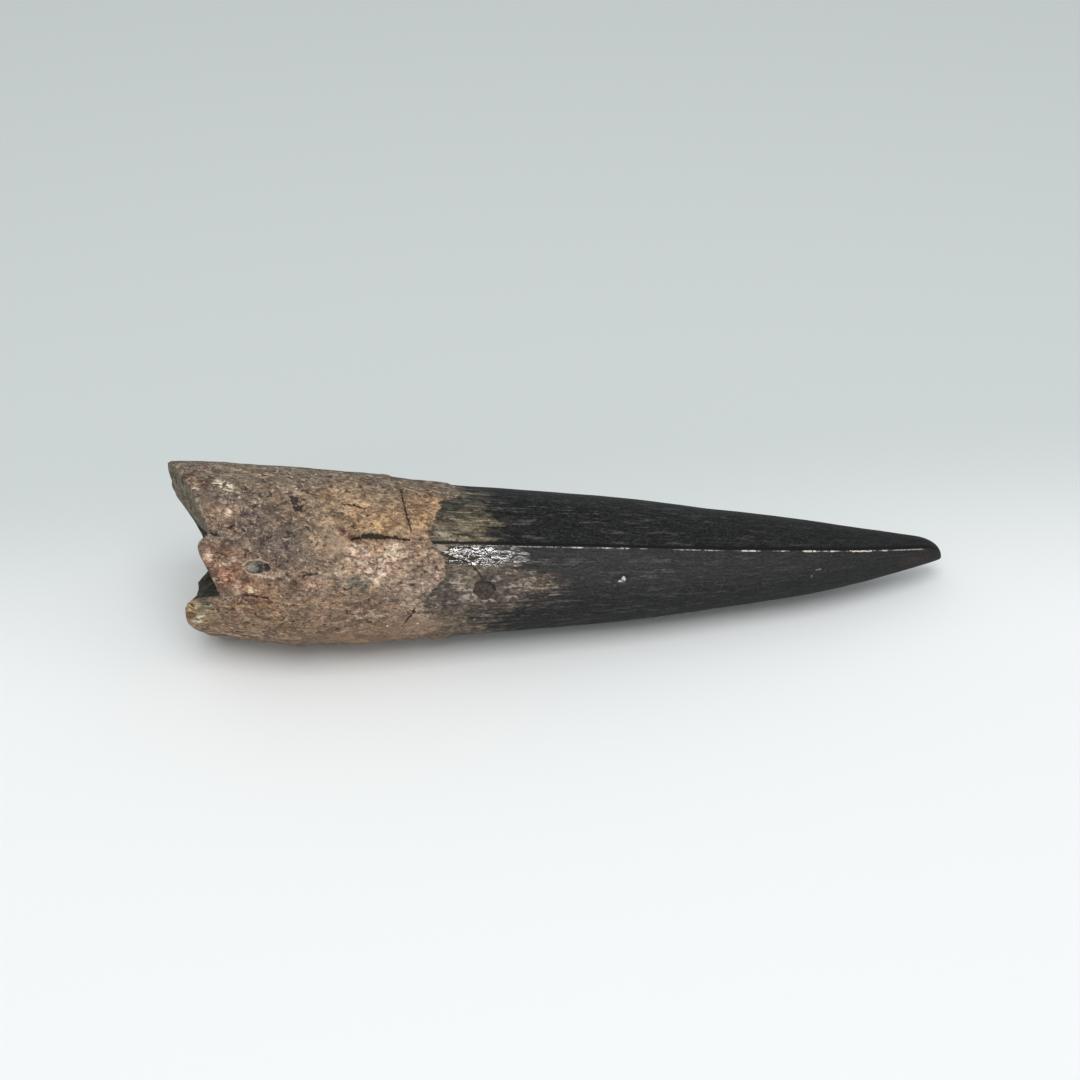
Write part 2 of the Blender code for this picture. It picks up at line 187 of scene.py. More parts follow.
# Coloured marks of the skin: along, around, length, width, turn from the axis
MARKS = {
    "cream": [
        (9.4, 31.5, 3.1, 1.9, -28), (5.4, 28, 1, 0.5, 0), (12.6, -35, 1.3, 0.6, 10),
        (4.6, -64.5, 3.2, 1.2, 53), (8.6, -86, 2.6, 0.6, 0), (29.5, -25.5, 1.5, 0.6, -30),
        (22.5, 150, 3, 1.2, 10), (12, 112, 2.8, 1, 30),
    ],
    "pink": [
        (6.9, -16, 1.9, 1.9, 20), (10.3, -16, 2.4, 0.9, -10), (8.8, -20, 1.4, 1.2, 0),
        (10.4, -34, 1.8, 1.2, 60), (10.2, 12.5, 2.6, 1.2, 45), (20, -31.5, 1.4, 1, 20),
        (21, -28.5, 2.2, 1, -20), (27.3, -9.5, 3.4, 3.6, 0), (32.2, -7, 3.2, 3.8, -8),
        (29.8, -18, 3.6, 3.2, 20), (33.6, -8, 2.6, 1.4, 10), (27.4, -50, 3.2, 1.8, 10),
        (15, -24, 5, 0.6, 8), (10, 52.5, 4.2, 0.5, -12), (14.5, 47, 2.8, 0.6, 5), (28, -130, 4, 2, 10),
        (10.4, 121, 4, 2.4, 20), (27, 168, 4.4, 2.6, -15), (31.5, 106, 3.4, 1.6, 0),
        (14, -170, 4, 2.4, 20),
    ],
    "red": [
        (9.9, -28, 4.8, 3.4, -12), (4.9, 35, 2.8, 1.1, -30), (20.8, -28, 3.4, 1.6, 0), (25.6, 5, 2, 1, 0),
        (3.3, -61, 0.9, 1.6, 40), (30, -2.6, 1.4, 1.4, 0), (12.6, -41, 4.6, 0.7, 0),
        (8.8, 133, 3.6, 1.2, -35), (24.6, 176, 3.6, 1.6, 0),
    ],
    "orange": [
        (30.9, 8.5, 6.6, 1.5, 2), (37.2, 17, 2.8, 3.4, 0), (38.4, 33, 1.6, 2.8, 0), (29, 119, 7, 1.4, 8),
        (33.4, 149, 3.4, 1.2, -10), (12.4, -34, 2.6, 1.6, 5), (5.6, -66, 2.4, 0.7, 50),
        (10.6, -48, 2, 0.6, 0), (14, -46, 1.8, 0.6, 0),
    ],
    "grey": [
        (27, -26, 5.6, 2.6, 10), (8.4, -2.5, 3.4, 2, 0), (38.4, 6, 2, 1, 0), (5.2, -50, 3, 1.8, 0),
        (30.5, 26, 1.8, 1, 0), (20, 134, 6, 1.4, 14), (9, 165, 4, 3, 0),
    ],
    "purple": [
        (9.3, 20, 2.6, 1.6, 0), (12.8, 11, 2.2, 1.6, 10), (6, 52, 6, 1.6, -4), (16.7, -6, 4, 1.9, 0),
        (18.6, 108, 6, 2.4, -8), (17, 160, 4, 2.4, 20), (13, -128, 4, 2, 10), (18.8, 27, 3, 1.9, 60),
    ],
    # Dark spots, and painted shade in the pit on the upper flank, the hole at the broken edge and beside
    # the grey stone
    "dark": [
        (19.5, 20.3, 1.2, 1.1, 14), (18.9, 25.5, 1, 1, 14), (7.7, -2.4, 0.9, 0.35, 0),
        (17.8, 8, 1.1, 0.4, 0), (34.2, -27, 0.9, 0.4, 0), (34.4, -48.5, 0.5, 0.8, 0),
        (15.6, 122, 1.3, 0.7, 20), (25, 127, 0.9, 0.7, 0), (14.8, -19.5, 0.8, 1, 0),
    ],
    "inclusion": [(13.6, -20, 3.3, 1.5, 10)],
    "light_chip": [
        # The second of these, by the root's edge under the front keel, is also a painted highlight standing
        # in for the glint's start
        (39.2, 8, 1.6, 0.7, 0), (38.8, -2.4, 1.8, 0.9, -20), (40.6, -6, 1.6, 0.5, -20),
        (40.4, 4, 1, 0.3, 0), (44.4, 1.6, 0.8, 0.3, 0), (41.6, 1.4, 2, 0.25, 0),
        (42.6, -28.3, 0.8, 0.5, 0), (42.3, -32.4, 1.5, 0.45, -20), (41.9, -37.1, 0.9, 0.8, 0),
        (43, -36.8, 1.1, 0.4, -30), (42.8, -40.3, 0.6, 0.9, 0), (44.2, -41.4, 0.9, 0.5, 0),
        (45.4, -41.4, 0.9, 0.5, 0), (45.4, -25.6, 1.1, 0.3, -8), (48, -30.6, 2.8, 0.3, 8),
        (48.2, -39, 1.4, 0.4, 0), (50.6, -29, 1.2, 0.5, 0),
    ],
    "nick": [
        (63.5, -29.5, 1.5, 0.3, 38), (64.4, -25.5, 0.9, 0.35, 100), (92.6, -38, 1.8, 0.12, 55),
        (93.9, -29, 0.5, 0.12, 60), (53.3, 18, 0.4, 0.3, 0),
    ],
    "red_tip": [(109.5, -34, 7, 2, 0)],
}

# The straight-edged chip in the crown: its corners (along, around), and the skin's radius there
CHIP_CORNERS = [
    (42.8, -34.6), (43.2, -27.8), (43.9, -25.6), (45.7, -27), (46.2, -32.2), (44.8, -41.2),
    (44, -40.6),
]
CHIP_RADIUS = 11.0
CHIP_SHADE = (0.28, 1.6)  # how far its shadow reaches from its upper right edges: along, around

# Where the brown stain of the crown's base ends, at each angle around
STAIN_EDGE = [
    (-150, 47), (-110, 49), (-76, 47), (-62, 45), (-52, 48), (-44, 52), (-32, 54.5), (-21, 52),
    (-10, 48), (-3, 43.5), (3, 46.2), (14, 46.6), (32, 46), (43, 44.8), (60, 43.5), (90, 43.5),
    (120, 47), (160, 48),
]

# Stretches of the front keel's crest that are worn to the pale layer: start, end, how pale
WORN = [
    # The first two stretches, a faint pale line along the crest over the glint, are partly a painted
    # highlight
    (37.0, 49.0, 0.1), (49.4, 56.4, 0.22), (56.9, 58.6, 0.7), (61.1, 62.6, 0.6), (64.0, 64.9, 0.9),
    (67.0, 67.8, 0.25), (72.5, 78.4, 0.35), (81.6, 84.4, 0.8), (87.5, 88.7, 0.6), (91.2, 93.5, 1.0),
    (94.9, 96.5, 0.8), (98.4, 102.6, 0.85), (103.8, 105.1, 0.7), (106.2, 111.2, 0.35),
]
WORN_FADE = 0.4  # on either side of each end

# Broad colours of the root's skin: along, around, length, width, colour on screen
TONES = {
    # The upper edge's dark tone is painted shade, where the skin turns away from the light
    "painted shade on the upper edge": (18, 78, 64, 5.4, (58, 51, 44)),
    "upper flank": (14, 50, 34, 12, (128, 113, 97)),
    "middle": (17, 5, 14, 8, (123, 104, 91)),
    "dark middle": (14.4, 4, 4.4, 3.6, (86, 76, 70)),
    "dark by the facet": (17.6, -3, 5, 3.4, (90, 78, 74)),
    "light by the crust": (22.4, 15, 5, 7, (182, 155, 122)),
    "pinkish end": (9.5, -27, 8, 6, (128, 92, 73)),
    "lower flank": (22, -68, 40, 10, (138, 111, 89)),
    "crust": (28.5, 20, 15, 8, (167, 135, 102)),
    "over the slit": (31, 10, 7, 3, (212, 168, 122)),
    "facet": (24.6, -5, 3.4, 5, (166, 146, 124)),
    "under the slit": (29.4, -9.5, 8.4, 6, (180, 148, 120)),
    "tan by the crown": (36.5, 25, 5, 10, (141, 108, 78)),
    "grey by the crown": (38, 52, 8, 6, (104, 93, 82)),
    "grainy band": (36, -25, 6, 12, (178, 154, 136)),
    "end of the lobe": (4.2, -60, 5, 5, (168, 144, 104)),
    "back keel": (22, 165, 30, 10, (132, 110, 92)),
    "upper back": (20, 115, 30, 12, (126, 112, 98)),
    "tan back": (31, 132, 9, 7, (158, 130, 100)),
    "dark back": (9, 138, 9, 6, (96, 84, 75)),
    "low back": (16, -150, 14, 8, (112, 92, 78)),
}
TONE_REST = (126, 107, 91)  # the colour between them
TONE_REST_WEIGHT = 0.15

# Marks that tint the root: their strength, and their darker and lighter colour on screen
MARK_COLOURS = {
    "grey": (0.6, (96, 96, 86), (136, 130, 114)),
    "purple": (0.5, (78, 64, 70), (122, 104, 104)),
    "orange": (0.6, (158, 120, 80), (222, 184, 136)),
    "red": (0.7, (106, 70, 57), (180, 134, 108)),
    "pink": (0.75, (146, 112, 92), (216, 190, 166)),
}

# Broad colours of the stain on the crown's base, as the root's
STAINS = {
    "olive over the keel": (44, 12, 9, 6, (108, 98, 79)),
    "dark by the root": (42.4, 36, 5, 3.4, (54, 53, 46)),
    "shade by the root": (40.4, 26, 2.6, 3.4, (44, 43, 38)),
    "upper flank": (44, 50, 10, 6, (74, 71, 62)),
    "under the glint": (42, -13, 6, 4, (104, 92, 75)),
    "round the chip": (42, -30, 2.6, 4.4, (118, 106, 92)),
    "past the chip": (49, -32, 9, 4, (89, 76, 68)),
    "yellow spot": (52.4, -30, 2.2, 1.2, (134, 119, 88)),
    "dark streaks": (41, -46, 9, 3, (83, 72, 66)),
    "olive below": (39, -66, 9, 6, (113, 98, 81)),
}
STAIN_REST = (80, 71, 63)

# Scaly, beaded and smooth parts of the root's skin, as ovals like the marks
SCALY = [(16, 20, 20, 12, 0), (13, 50, 18, 8, 0), (16, -3, 12, 6, 0), (14, 116, 16, 9, 0)]
LUMPY = [(36, -17, 4.6, 6.5, 0), (36.6, -36, 3.6, 4, 0)]
CALM = [
    (24.4, -3, 3.6, 5, 30), (25, -78, 22, 5, 0), (34, -62, 8, 4, 0), (7.2, 18, 3, 3, 0),
    (27, 140, 10, 6, 0), (12, -155, 12, 7, 0),
]

# The yellowish end of the lower lobe, and the parts of the broken wall painted dark as shade like the
# hollow, as ovals too
LOBE_END = [(3.2, -72, 6, 6, 0)]
DARK_WALL = [(6.5, -38, 8, 9, 0), (4.4, -100, 8, 12, 0)]

# The lap fades more softly under the tooth: around, its spread, and how much is added to its width
SOFT_LAP = (-90.0, 32.0, 7.0)

# The skin's patterns are drawn on a tube of this radius, so they narrow with the crown
GRAIN_RADIUS = 11.0

FAR = 5.0  # where the stored distances to marks and lines end
CRACK_SLOPE = 0.2  # how far a crack's cut reaches past its half width
LINE_REACH = 0.8  # how far from a line its sides count

WALL_ROUGHNESS = 0.85
SPECULAR = 0.175


def smooth_curve(x, points, period=None):
    """The smooth curve through (x, y) points. With a period, it closes on itself."""
    xs, ys = (np.array(column, float) for column in zip(*points))
    if period:
        xs = np.concatenate([xs[-3:] - period, xs, xs[:3] + period])
        ys = np.concatenate([ys[-3:], ys, ys[:3]])
    slopes = np.gradient(ys, xs)
    i = np.clip(np.searchsorted(xs, x) - 1, 0, len(xs) - 2)
    step = xs[i + 1] - xs[i]
    t = (x - xs[i]) / step
    rise = ys[i + 1] - ys[i]
    a = slopes[i] * step - rise
    b = rise - slopes[i + 1] * step
    return ys[i] + rise * t + t * (1 - t) * (a * (1 - t) + b * t)


def step_up(x, start, end):
    """0 before start, 1 after end, smooth between."""
    t = np.clip((x - start) / (end - start), 0, 1)
    return t * t * (3 - 2 * t)


def lumps(points, sizes):
    """Smooth noise at each point, as the sum of lumps of each size and height."""
    total = np.zeros(points.shape[:-1])
    for size, height in sizes:
        flat = [noise.noise(Vector(p) / size, noise_basis="PERLIN_ORIGINAL") for p in points.reshape(-1, 3)]
        total += height * np.array(flat).reshape(total.shape)
    return total


def half_height(along):
    """Half the tooth's height, square to the keels. Its square is the smooth one at the blunt tip."""
    squares = [(distance, height * height) for distance, height in HALF_HEIGHT]
    return np.sqrt(np.maximum(smooth_curve(LENGTH - along, squares), 0.0))


def section_radius(along, around):
    """Distance from the axis to the smooth skin, without keels."""
    angle = np.radians(around)
    return half_height(along) / np.hypot(np.sin(angle), np.cos(angle) / KEEL_TO_KEEL)


def keel_tilt(along):
    """How far the front keel looks up from level, in degrees."""
    return KEEL_TILT_AT_ROOT + (KEEL_TILT_AT_TIP - KEEL_TILT_AT_ROOT) * along / LENGTH


def keels(along, around):
    """Height of the two keels over the smooth skin."""
    radius = section_radius(along, around)
    front = np.radians(np.abs(around)) * radius
    back = np.radians(180.0 - np.abs(around)) * radius
    crest = np.exp(-front / KEEL_WIDTH) + np.exp(-back / KEEL_WIDTH)
    fade = step_up(along, CROWN_START - KEEL_FADE, CROWN_START + KEEL_FADE)
    return KEEL_HEIGHT * crest * fade * np.minimum(1.0, radius / FULL_KEEL_RADIUS)


def lap_edge(around):
    """Where the root's skin ends, along."""
    return smooth_curve(around, LAP_EDGE, 360)


def root_share(along, around):
    """1 on the root's skin and 0 on the crown, with a short step between at the ragged edge."""
    edge = lap_edge(around)
    return 1 - step_up(along, edge - LAP_STEP / 2, edge + LAP_STEP / 2)


def crust(along, around):
    """Height of the crust over the root's skin."""
    edge = smooth_curve(np.clip(around, CRUST_EDGE[0][0], CRUST_EDGE[-1][0]), CRUST_EDGE)
    start, whole, fading, gone = CRUST_SPAN
    across = step_up(around, start, whole) * (1 - step_up(around, fading, gone))
    before_edge = 1 - step_up(along, edge - CRUST_STEP / 2, edge + CRUST_STEP / 2)
    return CRUST_HEIGHT * across * step_up(along, *CRUST_START) * before_edge


def offset(along, around, centre, angle):
    """How far each place is from (centre, angle), along the axis and round the skin."""
    return along - centre, np.radians((around - angle + 180) % 360 - 180) * section_radius(along, around)


def reach(along, around, centre, angle, length, width, turn=0):
    """Distance from an oval's middle, as a share of the way to its edge."""
    u, v = offset(along, around, centre, angle)
    turned = math.radians(turn)
    lengthwise = u * math.cos(turned) + v * math.sin(turned)
    crosswise = v * math.cos(turned) - u * math.sin(turned)
    return np.hypot(lengthwise * 2 / length, crosswise * 2 / width)


def relief(along, around):
    """Height of the dents and rises over the smooth skin."""
    total = np.zeros(along.shape)
    for *oval, height in RELIEF.values():
        total += height * (1 - step_up(reach(along, around, *oval), 1 - RELIEF_EDGE, 1 + RELIEF_EDGE))
    return total


def line_distances(along, around, points):
    """Distances to the line through these points: straight, across it by side, and past its ends."""
    nearest = np.full(along.shape, np.inf)
    across = np.zeros(along.shape)
    past = np.zeros(along.shape)
    last = len(points) - 2
    for place in range(len(points) - 1):
        (start, start_angle), (end, end_angle) = points[place : place + 2]
        u, v = offset(along, around, start, start_angle)
        run = end - start
        rise = math.radians(end_angle - start_angle) * ROOT_HEIGHT / 2
        length = math.hypot(run, rise)
        t = (u * run + v * rise) / length
        kept = np.clip(t, 0, length)
        gap = np.hypot(u - kept / length * run, v - kept / length * rise)
        closer = gap < nearest
        nearest = np.where(closer, gap, nearest)
        across = np.where(closer, (v * run - u * rise) / length, across)
        before = -t if place == 0 else -length
        after = t - length if place == last else -length
        past = np.where(closer, np.maximum(before, after), past)
    return nearest, across, past


def line_fields(along, around, lines):
    """For the nearest of these lines: distances straight, across and past its ends, and its half width."""
    found = np.full((4,) + along.shape, FAR)
    for half_width, _, points in lines:
        nearest, across, past = line_distances(along, around, points)
        made = np.stack([nearest, across, past, np.full(along.shape, half_width)])
        found = np.where(nearest < found[0], made, found)
    return np.clip(found, -FAR, FAR)


def crack_depth(along, around):
    """How deep the skin is cut by the cracks."""
    depth = np.zeros(along.shape)
    for half_width, cut, points in CRACKS.values():
        nearest = line_distances(along, around, points)[0]
        depth = np.maximum(depth, cut * (1 - step_up(nearest, 0.0, half_width + CRACK_SLOPE)))
    return depth


def axis_frame(along):
    """The axis's place and the directions towards the front keel and the upper flank, at each along."""
    lift = TIP_LIFT * np.clip((along - LIFT_START) / (LENGTH - LIFT_START), 0, 1) ** 2
    tilt = keel_tilt(along)
    under = section_radius(along, -90.0 - tilt)
    place = np.stack([along - LENGTH / 2, smooth_curve(along, PLAN), under + lift - REST_DEPTH], -1)
    cosine, sine = np.cos(np.radians(tilt)), np.sin(np.radians(tilt))
    front = np.stack([0 * along, -cosine, sine], -1)
    flank = np.stack([0 * along, sine, cosine], -1)
    return place, front, flank


def skin_point(along, around, radius):
    """The point at that distance from the axis."""
    place, front, flank = axis_frame(along)
    angle = np.radians(around)[..., None]
    return place + radius[..., None] * (np.cos(angle) * front + np.sin(angle) * flank)


def skin_rows(around):
    """Points from the tip to the broken edge, as rows round the tooth, with their places and radius."""
    edge = smooth_curve(around, OUTER_EDGE, 360)
    share = smooth_curve(np.arange(1, SKIN_ROWS + 1) / SKIN_ROWS, ROW_PLACES)[:, None]
    along = LENGTH - share * (LENGTH - edge)
    angle = np.broadcast_to(around, along.shape)
    smooth = section_radius(along, angle)
    root = root_share(along, angle)
    from_lowest = (angle + 90 + keel_tilt(along) + 180) % 360 - 180
    rest = np.exp(-((from_lowest / REST_SPAN) ** 2))
    place = skin_point(along, angle, smooth)
    top, span, smoothed = SMOOTH_TOP
    smooth_top = 1 - smoothed * np.exp(-(((angle - top) / span) ** 2))
    rough = root * (1 - rest) * smooth_top * lumps(place, ROOT_LUMPS)
    wavy = (1 - root) * (1 - rest) * np.minimum(1.0, smooth / FULL_KEEL_RADIUS) * lumps(place, CROWN_LUMPS)
    short = np.clip(1 - (along - edge) / (2 * EDGE_ROUND), 0, 1)
    radius = smooth + keels(along, angle) + LAP_HEIGHT * root + crust(along, angle) + relief(along, angle)
    radius = radius + rough + wavy - crack_depth(along, angle) - EDGE_ROUND * short * short
    return skin_point(along, angle, radius), along, angle, radius


def break_rows(around, edge_radius):
    """Points across the broken wall, from the skin to the hollow."""
    outer = smooth_curve(around, OUTER_EDGE, 360)
    inner = smooth_curve(around, CAVITY_EDGE, 360)
    t = (np.arange(1, BREAK_ROWS + 1) / BREAK_ROWS)[:, None]
    centre, spread = FRONT_BULGE_PLACE
    bulge = WALL_BULGE + FRONT_BULGE * np.exp(-(((around - centre) / spread) ** 2))
    along = outer + (inner - outer) * t - bulge * 4 * t * (1 - t)
    radius = edge_radius + (CAVITY_RADIUS - edge_radius) * t
    angle = np.broadcast_to(around, along.shape)
    rough = lumps(skin_point(along, angle, radius), WALL_LUMPS) * np.sin(math.pi * t)
    return skin_point(along + rough, angle, radius), along + rough, angle, radius


def cavity_rows(around):
    """Points from the hollow's mouth down its wall and across its floor."""
    mouth = smooth_curve(around, CAVITY_EDGE, 360)
    t = (np.arange(1, CAVITY_ROWS) / CAVITY_ROWS)[:, None]
    down = np.clip(t / CAVITY_WALL_SHARE, 0, 1)
    across = np.clip((1 - t) / (1 - CAVITY_WALL_SHARE), 0, 1)
    along = mouth + (CAVITY_FLOOR - mouth) * np.sin(down * math.pi / 2)
    radius = np.broadcast_to(CAVITY_RADIUS * across * (1 - CAVITY_TAPER * down), along.shape)
    angle = np.broadcast_to(around, along.shape)
    rough = lumps(skin_point(along, angle, radius), HOLLOW_LUMPS) * np.sin(math.pi * t)
    return skin_point(along, angle, radius + rough), along, angle, radius


def tooth_rows():
    """Every ring's points, along, around, radius, and how much of each row is wall and hollow."""
    around = np.linspace(-180.0, 180.0, COLUMNS, endpoint=False)
    skin = skin_rows(around)
    edge_radius = skin[3][-1]
    parts = [skin, break_rows(around, edge_radius), cavity_rows(around)]
    points, along, angle, radius = (np.concatenate([part[i] for part in parts]) for i in range(4))
    past_skin = np.arange(len(points)) - SKIN_ROWS
    wall = np.clip((past_skin + 1.0) / WALL_FADE_ROWS, 0, 1)
    hollow = np.clip((past_skin - BREAK_ROWS * HOLLOW_FADE_START) / HOLLOW_FADE_ROWS, 0, 1)
    return points, along, angle, radius, wall, hollow


def mark_side(along, around, marks):
    """Distance to the edge of the nearest of these oval marks, negative inside it."""
    side = np.full(along.shape, np.inf)
    for oval in marks:
        side = np.minimum(side, (reach(along, around, *oval) - 1) * min(oval[2:4]) / 2)
    return np.minimum(side, FAR)


def chip_side(along, around):
    """Distance to the straight edges of the chip in the crown, negative inside it."""
    side = np.full(along.shape, -np.inf)
    corners = CHIP_CORNERS + CHIP_CORNERS[:1]
    for (start, start_angle), (end, end_angle) in zip(corners, corners[1:]):
        u, v = offset(along, around, start, start_angle)
        run = end - start
        rise = math.radians(end_angle - start_angle) * CHIP_RADIUS
        side = np.maximum(side, (v * run - u * rise) / math.hypot(run, rise))
    return side


def near(along, around, ovals):
    """About 1 in the middle of each oval, fading to 0 around it."""
    return sum(np.exp(-(reach(along, around, *oval) ** 2)) for oval in ovals)


def linear(colour):
    """A colour on screen, each part 0 to 255, as the linear one that a shader takes."""
    parts = np.array(colour, float) / 255
    return np.where(parts <= 0.04045, parts / 12.92, ((parts + 0.055) / 1.055) ** 2.4)


def tones(along, around, zones, rest):
    """The broad colour at each place, where each zone fades into the rest."""
    total = np.full(along.shape, TONE_REST_WEIGHT)
    colour = total[..., None] * linear(rest)
    for *oval, tone in zones.values():
        weight = near(along, around, [oval])
        total = total + weight
        colour = colour + weight[..., None] * linear(tone)
    return colour / total[..., None]


def worn_share(along):
    """How pale the front keel's crest is worn, at each along."""
    share = np.zeros(along.shape)
    for start, end, pale in WORN:
        begun = step_up(along, start - WORN_FADE, start + WORN_FADE)
        ended = step_up(along, end - WORN_FADE, end + WORN_FADE)
        share = np.maximum(share, pale * (begun * (1 - ended)))
    return share


def with_ends(values, first, last):
    """The values of every ring's points, then those of the two end points."""
    flat = values.reshape(-1, *values.shape[2:])
    return np.concatenate([flat, [first, last]])


def surface_fields(along, around, radius, wall, hollow):
    """What the material needs to know at each point, by name."""
    wall, hollow = wall[:, None], hollow[:, None]
    shown = np.where(wall > 0, radius, GRAIN_RADIUS)
    turned = np.radians(around)
    grain = np.stack([along, shown * np.cos(turned), shown * np.sin(turned)], -1)
    skin = 1 - wall
    soft_place, soft_spread, softer = SOFT_LAP
    softness = 1 + softer * np.exp(-(((around - soft_place) / soft_spread) ** 2))
    root_side = lap_edge(around) - along
    fields = {
        "root_side": root_side,
        "soft_side": root_side / softness,
        "stain_side": smooth_curve(around, STAIN_EDGE, 360) - along,
        "keel_side": np.radians(around) * section_radius(along, around),
        "worn": worn_share(along) * skin,
        "wall": np.broadcast_to(wall, along.shape),
        "hollow": np.broadcast_to(hollow, along.shape),
        "chip_side": np.clip(chip_side(along, around), -FAR, FAR),
        "chip_floor": np.clip(chip_side(along + CHIP_SHADE[0], around + CHIP_SHADE[1]), -FAR, FAR),
        "lobe": near(along, around, LOBE_END),
        "dark_wall": near(along, around, DARK_WALL),
        "scaly": skin * near(along, around, SCALY),
        "lumpy": skin * near(along, around, LUMPY),
        "calm": skin * near(along, around, CALM),
    }
    for name, marks in MARKS.items():
        fields[name] = mark_side(along, around, marks) + FAR * wall
    for name, lines in (("crack", CRACKS), ("pale", PALE_LINES)):
        kinds = ("_near", "_across", "_past", "_width")
        for kind, values in zip(kinds, line_fields(along, around, lines.values())):
            fields[name + kind] = values
        fields[name + "_near"] += FAR * wall
    return grain, fields


def store(mesh, name, kind, member, values):
    """Stores one value for each point of the mesh."""
    layer = mesh.attributes.new(name, kind, "POINT")
    layer.data.foreach_set(member, np.ascontiguousarray(values, dtype=np.float32).ravel())


def tooth_faces(rings):
    """The faces between that many rings of points and the two end points, as numbers of points."""
    first, last = rings * COLUMNS, rings * COLUMNS + 1
    faces = []
    for column in range(COLUMNS):
        after = (column + 1) % COLUMNS
        faces.append((first, column, after))
        for row in range(rings - 1):
            here, below = row * COLUMNS, (row + 1) * COLUMNS
            faces.append((here + column, below + column, below + after, here + after))
        faces.append((below + after, below + column, last))
    return faces


def tooth_mesh():
    """The closed mesh, with what the material needs stored on its points."""
    points, along, around, radius, wall, hollow = tooth_rows()
    tip, floor = axis_frame(np.array([LENGTH, CAVITY_FLOOR]))[0]
    places = with_ends(points, tip, floor)
    places[:, 2] = np.maximum(places[:, 2], 0.0)
    middle = (places.min(axis=0) + places.max(axis=0)) / 2
    places -= (middle[0], middle[1], 0.0)
    mesh = bpy.data.meshes.new("fossil_tooth")
    mesh.from_pydata((places * MM).tolist(), [], tooth_faces(len(points)))
    mesh.shade_smooth()
    grain, fields = surface_fields(along, around, radius, wall, hollow)
    store(mesh, "grain", "FLOAT_VECTOR", "vector", with_ends(grain, (LENGTH, 0, 0), (CAVITY_FLOOR, 0, 0)))
    for name, zones, rest in (("tone", TONES, TONE_REST), ("stain", STAINS, STAIN_REST)):
        broad = tones(along, around, zones, rest)
        colours = np.concatenate([broad, np.ones(broad.shape[:-1] + (1,))], -1)
        store(mesh, name, "FLOAT_COLOR", "color", with_ends(colours, colours[0, 0], colours[-1, 0]))
    for name, values in fields.items():
        store(mesh, name, "FLOAT", "value", with_ends(values, values[0, 0], values[-1, 0]))
    return mesh


# A Mix node's sockets for colours
MIX_FIRST = 6
MIX_SECOND = 7
MIX_RESULT = 2


class Field:
    """A number, vector or colour that varies over a surface: an output of a node."""

    def __init__(self, socket):
        self.socket = socket
        self.tree = socket.id_data

    def maths(self, operation, *others):
        """This and the others, put together by a Math node."""
        inputs = dict(enumerate((self,) + others))
        return Field(node(self.tree, "Math", inputs, operation=operation).outputs[0])

    def __add__(self, other):
        return self.maths("ADD", other)

    def __sub__(self, other):
        return self.maths("SUBTRACT", other)

    def __mul__(self, other):
        return self.maths("MULTIPLY", other)

    def flip(self):
        """1 less this."""
        return self * -1.0 + 1.0

    def higher(self, other):
        """The higher of this and another."""
        return self.maths("MAXIMUM", other)

    def away(self):
        """Its distance from 0."""
        return self.maths("ABSOLUTE")

    def step(self, start, end, low=0.0, high=1.0):
        """low before start, high after end, smooth between."""
        inputs = {"Value": self, "From Min": start, "From Max": end, "To Min": low, "To Max": high}
        made = node(self.tree, "MapRange", inputs, interpolation_type="SMOOTHSTEP")
        return Field(made.outputs["Result"])

    def noise(self, size, detail=2.0, roughness=0.5, distortion=0.0, along=1.0):
        """Smooth noise of that size over this place, mostly between 0.3 and 0.7. Where along is under 1, it
        is drawn out along the tooth."""
        drawn = node(self.tree, "VectorMath", {0: self, 1: (along, 1.0, 1.0)}, operation="MULTIPLY")
        inputs = {
            "Vector": Field(drawn.outputs["Vector"]),
            "Scale": 1 / size,
            "Detail": detail,
            "Roughness": roughness,
            "Distortion": distortion,
        }
        return Field(node(self.tree, "TexNoise", inputs).outputs[0])

    def cells(self, size):
        """Distance to the nearest of scattered dots, and a colour for each, over this place."""
        made = node(self.tree, "TexVoronoi", {"Vector": self, "Scale": 1 / size})
        return Field(made.outputs["Distance"]), Field(made.outputs["Color"])

    def between(self, first, second):
        """The first colour, with this share of the second. Each is a Field or a colour on screen."""
        inputs = {0: self, MIX_FIRST: paint(first), MIX_SECOND: paint(second)}
        return Field(node(self.tree, "Mix", inputs, data_type="RGBA").outputs[MIX_RESULT])

    def blend(self, share, colour):
        """This colour, with that share of another."""
        return share.between(self, colour)

    def dim(self, factor):
        """This colour times a number."""
        made = node(self.tree, "VectorMath", {0: self, "Scale": factor}, operation="SCALE")
        return Field(made.outputs["Vector"])


def node(tree, kind, inputs, **settings):
    """A new node. An input, by name or number, is a plain value or a Field."""
    made = tree.nodes.new("ShaderNode" + kind)
    for name, value in settings.items():
        setattr(made, name, value)
    for key, value in inputs.items():
        if isinstance(value, Field):
            tree.links.new(value.socket, made.inputs[key])
        else:
            made.inputs[key].default_value = value
    return made


def stored(tree, name, output="Fac"):
    """What the mesh stores under that name."""
    return Field(node(tree, "Attribute", {}, attribute_name=name).outputs[output])


def paint(colour):
    """A Field as it is, or a colour on screen as a shader takes it."""
    return colour if isinstance(colour, Field) else (*linear(colour), 1.0)


def new_material(name, specular):
    """A new material, its nodes and its shader."""
    made = bpy.data.materials.new(name)
    made.use_nodes = True
    shader = made.node_tree.nodes["Principled BSDF"]
    shader.inputs["Specular IOR Level"].default_value = specular
    return made, made.node_tree, shader


def new_object(name, data):
    """A new object in the scene."""
    made = bpy.data.objects.new(name, data)
    bpy.context.scene.collection.objects.link(made)
    return made


def line_edge(tree, name, ragged):
    """Distance to the edge of the nearest line of that group, negative inside it."""
    side = stored(tree, name + "_across").away() - stored(tree, name + "_width") + ragged
    side = side.higher(stored(tree, name + "_past"))
    return side.higher(stored(tree, name + "_near") - LINE_REACH)


